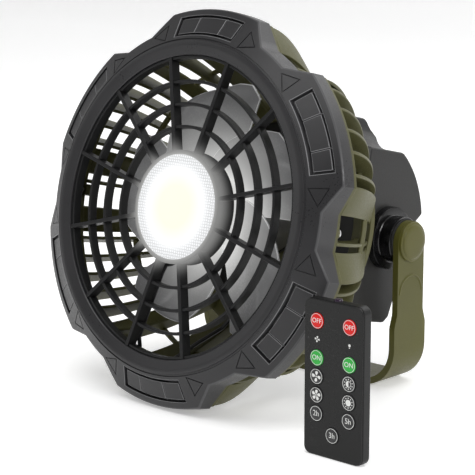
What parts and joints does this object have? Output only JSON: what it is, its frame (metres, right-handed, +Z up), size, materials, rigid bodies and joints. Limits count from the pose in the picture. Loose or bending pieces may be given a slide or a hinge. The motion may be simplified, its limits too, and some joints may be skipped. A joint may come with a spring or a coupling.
{
  "type": "portable camping fan",
  "caption": "Portable camping fan with a centre lamp behind a spoked grille, a battery case on its back, a tilting U-shaped stand and a slim card remote.",
  "frame": {"origin": "on the ground, in the middle of the stand's foot strip, straight under the stand's pivots", "axes": "+Z up; -Y towards the side the air and the light leave; +X to the right seen from that side"},
  "size_m": [0.267, 0.179, 0.2281],
  "materials": {
    "black_plastic": "fine satin",
    "lens": "clear with a ribbed edge",
    "reflector": "mirror",
    "led": "phosphor",
    "dark_window": "smooth",
    "olive_plastic": "fine satin",
    "case_plastic": "fine satin",
    "steel": "plain",
    "motor_black": "plain",
    "copper": "wound wire",
    "magnet": "plain",
    "smoke_plastic": "semi gloss",
    "cell_wrap": "shrink wrap",
    "board": "solder mask",
    "gauge": "frosted",
    "rubber": "matt",
    "olive_metal": "satin paint",
    "olive_cap": "satin",
    "remote_plastic": "satin",
    "remote_film": "satin film",
    "coin": "plain",
    "key_red": "satin film",
    "key_green": "satin film",
    "key_black": "satin film"
  },
  "bodies": {
    "head": {"front_bezel": "black_plastic", "front_grille": "black_plastic", "lamp_cup": "black_plastic", "pivot_bosses": "black_plastic", "lamp_lead": "black_plastic", "motor_lead": "black_plastic", "cell_cradle": "black_plastic", "lamp_lens": "lens", "lamp_reflector": "reflector", "led_board": "led", "ir_receiver": "dark_window", "rear_housing": "olive_plastic", "housing_fins": "olive_plastic", "rear_plate": "case_plastic", "battery_case": "case_plastic", "motor_case": "steel", "motor_bearings": "steel", "motor_screws": "steel", "bezel_screws": "steel", "case_screws": "steel", "usb_sockets": "steel", "motor_end_cap": "motor_black", "motor_stator": "copper", "battery_cells": "cell_wrap", "power_board": "board", "panel_board": "board", "control_board": "board", "battery_gauge": "gauge", "friction_washers": "rubber"},
    "rotor": {"fan_rotor": "smoke_plastic", "motor_shaft": "steel", "motor_magnet": "magnet", "rotor_nut": "steel"},
    "stand": {"stand_bracket": "olive_metal", "pivot_bolts": "steel", "pivot_caps": "olive_cap"},
    "power_button": {"power_button": "black_plastic"},
    "fan_button": {"fan_button": "black_plastic"},
    "light_button": {"light_button": "black_plastic"},
    "port_cover": {"port_cover": "rubber"},
    "remote": {"remote_shell": "remote_plastic", "remote_face": "remote_film", "remote_board": "board", "ir_emitter": "dark_window"},
    "battery_tray": {"battery_tray": "remote_plastic", "coin_cell": "coin"},
    "key_off_fan": {"key_off_fan": "key_red"},
    "key_off_light": {"key_off_light": "key_red"},
    "key_on_fan": {"key_on_fan": "key_green"},
    "key_on_light": {"key_on_light": "key_green"},
    "key_speed_low": {"key_speed_low": "key_black"},
    "key_speed_high": {"key_speed_high": "key_black"},
    "key_dim": {"key_dim": "key_black"},
    "key_bright": {"key_bright": "key_black"},
    "key_timer_2h": {"key_timer_2h": "key_black"},
    "key_timer_5h": {"key_timer_5h": "key_black"},
    "key_timer_3h": {"key_timer_3h": "key_black"}
  },
  "joints": [
    {"name": "rotor_spin", "type": "hinge", "parent": "head", "child": "rotor", "pos_m": [0, -0.08769, 0.10965], "axis": [0, -0.9744, 0.225], "continuous": true},
    {"name": "stand_tilt", "type": "hinge", "parent": "head", "child": "stand", "pos_m": [0, 0, 0.08941], "axis": [1, 0, 0], "range_deg": [-25, 178]},
    {"name": "power_press", "type": "slide", "parent": "head", "child": "power_button", "axis": [0, -0.225, -0.9744], "range_m": [0, 0.0012], "stiffness_N_per_m": 600, "springref_m": -0.0006},
    {"name": "fan_press", "type": "slide", "parent": "head", "child": "fan_button", "axis": [0, -0.91, 0.4146], "range_m": [0, 0.0012], "stiffness_N_per_m": 600, "springref_m": -0.0006},
    {"name": "light_press", "type": "slide", "parent": "head", "child": "light_button", "axis": [0, -0.91, 0.4146], "range_m": [0, 0.0012], "stiffness_N_per_m": 600, "springref_m": -0.0006},
    {"name": "cover_flip", "type": "hinge", "parent": "head", "child": "port_cover", "pos_m": [0, 0.00605, 0.0432], "axis": [-1, 0, 0], "range_deg": [0, 110]},
    {"name": "remote_lift", "type": "slide", "parent": "head", "child": "remote", "axis": [0, 0, 1], "range_m": [0, 0.12]},
    {"name": "tray_pull", "type": "slide", "parent": "remote", "child": "battery_tray", "axis": [0, 0, -1], "range_m": [0, 0.02]},
    {"name": "press_off_fan", "type": "slide", "parent": "remote", "child": "key_off_fan", "axis": [0, 1, 0], "range_m": [0, 0.0004], "stiffness_N_per_m": 500, "springref_m": -0.0006},
    {"name": "press_off_light", "type": "slide", "parent": "remote", "child": "key_off_light", "axis": [0, 1, 0], "range_m": [0, 0.0004], "stiffness_N_per_m": 500, "springref_m": -0.0006},
    {"name": "press_on_fan", "type": "slide", "parent": "remote", "child": "key_on_fan", "axis": [0, 1, 0], "range_m": [0, 0.0004], "stiffness_N_per_m": 500, "springref_m": -0.0006},
    {"name": "press_on_light", "type": "slide", "parent": "remote", "child": "key_on_light", "axis": [0, 1, 0], "range_m": [0, 0.0004], "stiffness_N_per_m": 500, "springref_m": -0.0006},
    {"name": "press_speed_low", "type": "slide", "parent": "remote", "child": "key_speed_low", "axis": [0, 1, 0], "range_m": [0, 0.0004], "stiffness_N_per_m": 500, "springref_m": -0.0006},
    {"name": "press_speed_high", "type": "slide", "parent": "remote", "child": "key_speed_high", "axis": [0, 1, 0], "range_m": [0, 0.0004], "stiffness_N_per_m": 500, "springref_m": -0.0006},
    {"name": "press_dim", "type": "slide", "parent": "remote", "child": "key_dim", "axis": [0, 1, 0], "range_m": [0, 0.0004], "stiffness_N_per_m": 500, "springref_m": -0.0006},
    {"name": "press_bright", "type": "slide", "parent": "remote", "child": "key_bright", "axis": [0, 1, 0], "range_m": [0, 0.0004], "stiffness_N_per_m": 500, "springref_m": -0.0006},
    {"name": "press_timer_2h", "type": "slide", "parent": "remote", "child": "key_timer_2h", "axis": [0, 1, 0], "range_m": [0, 0.0004], "stiffness_N_per_m": 500, "springref_m": -0.0006},
    {"name": "press_timer_5h", "type": "slide", "parent": "remote", "child": "key_timer_5h", "axis": [0, 1, 0], "range_m": [0, 0.0004], "stiffness_N_per_m": 500, "springref_m": -0.0006},
    {"name": "press_timer_3h", "type": "slide", "parent": "remote", "child": "key_timer_3h", "axis": [0, 1, 0], "range_m": [0, 0.0004], "stiffness_N_per_m": 500, "springref_m": -0.0006}
  ]
}
